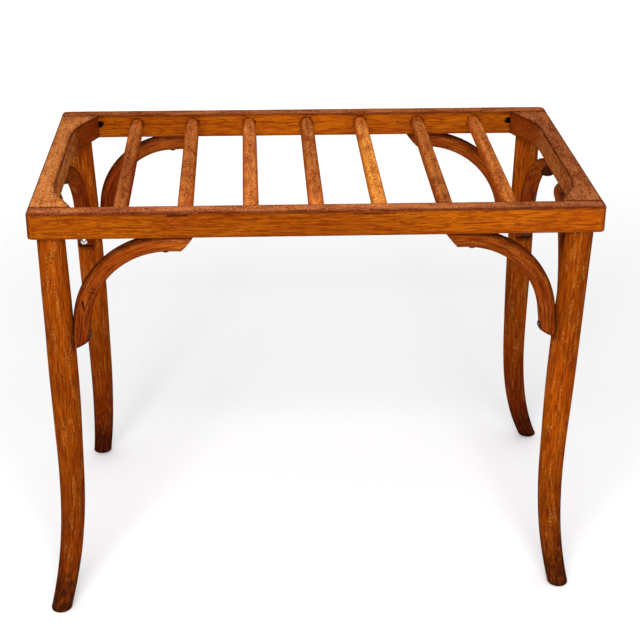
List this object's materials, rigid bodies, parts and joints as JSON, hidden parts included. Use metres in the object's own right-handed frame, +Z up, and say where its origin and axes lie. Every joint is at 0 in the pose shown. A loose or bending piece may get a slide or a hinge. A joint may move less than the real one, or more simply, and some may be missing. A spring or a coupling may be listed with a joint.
{
  "type": "luggage rack",
  "caption": "Bentwood luggage rack: a jointed top frame with turned bars across it, on bent legs with quarter-round brackets.",
  "frame": {"origin": "on the floor, under the middle of the bounding box that the feet and the top frame set together", "axes": "+Z up, +X along the long rails with the left end at -X, the front rail on the -Y side"},
  "size_m": [0.7774, 0.5052, 0.59],
  "materials": {
    "rail_wood": "old shellac on beech, honey brown, worn dark along the edges",
    "end_rail_wood": "old shellac on beech, honey brown, flecked and slightly crazed",
    "spindle_wood": "old shellac on turned beech, orange brown with worn purple-brown tops",
    "leg_wood": "old shellac on steam-bent beech, dark and dirty at the foot",
    "bracket_wood": "old shellac on steam-bent beech, red brown",
    "dowel_wood": "raw beech",
    "screw_steel": "worn steel, slotted round head"
  },
  "bodies": {
    "root": {"front_rail": "rail_wood", "rear_rail": "rail_wood", "left_end_rail": "end_rail_wood", "right_end_rail": "end_rail_wood", "spindle_1": "spindle_wood", "spindle_2": "spindle_wood", "spindle_3": "spindle_wood", "spindle_4": "spindle_wood", "spindle_5": "spindle_wood", "spindle_6": "spindle_wood", "spindle_7": "spindle_wood", "front_left_leg": "leg_wood", "front_left_long_bracket": "bracket_wood", "front_left_long_bracket_leg_screw": "screw_steel", "front_left_long_bracket_rail_screw": "screw_steel", "front_left_short_bracket": "bracket_wood", "front_left_short_bracket_leg_screw": "screw_steel", "front_left_short_bracket_rail_screw": "screw_steel", "front_left_outer_dowel": "dowel_wood", "front_left_inner_dowel": "dowel_wood", "front_right_leg": "leg_wood", "front_right_long_bracket": "bracket_wood", "front_right_long_bracket_leg_screw": "screw_steel", "front_right_long_bracket_rail_screw": "screw_steel", "front_right_short_bracket": "bracket_wood", "front_right_short_bracket_leg_screw": "screw_steel", "front_right_short_bracket_rail_screw": "screw_steel", "front_right_outer_dowel": "dowel_wood", "front_right_inner_dowel": "dowel_wood", "rear_left_leg": "leg_wood", "rear_left_long_bracket": "bracket_wood", "rear_left_long_bracket_leg_screw": "screw_steel", "rear_left_long_bracket_rail_screw": "screw_steel", "rear_left_short_bracket": "bracket_wood", "rear_left_short_bracket_leg_screw": "screw_steel", "rear_left_short_bracket_rail_screw": "screw_steel", "rear_left_outer_dowel": "dowel_wood", "rear_left_inner_dowel": "dowel_wood", "rear_right_leg": "leg_wood", "rear_right_long_bracket": "bracket_wood", "rear_right_long_bracket_leg_screw": "screw_steel", "rear_right_long_bracket_rail_screw": "screw_steel", "rear_right_short_bracket": "bracket_wood", "rear_right_short_bracket_leg_screw": "screw_steel", "rear_right_short_bracket_rail_screw": "screw_steel", "rear_right_outer_dowel": "dowel_wood", "rear_right_inner_dowel": "dowel_wood"}
  },
  "joints": []
}
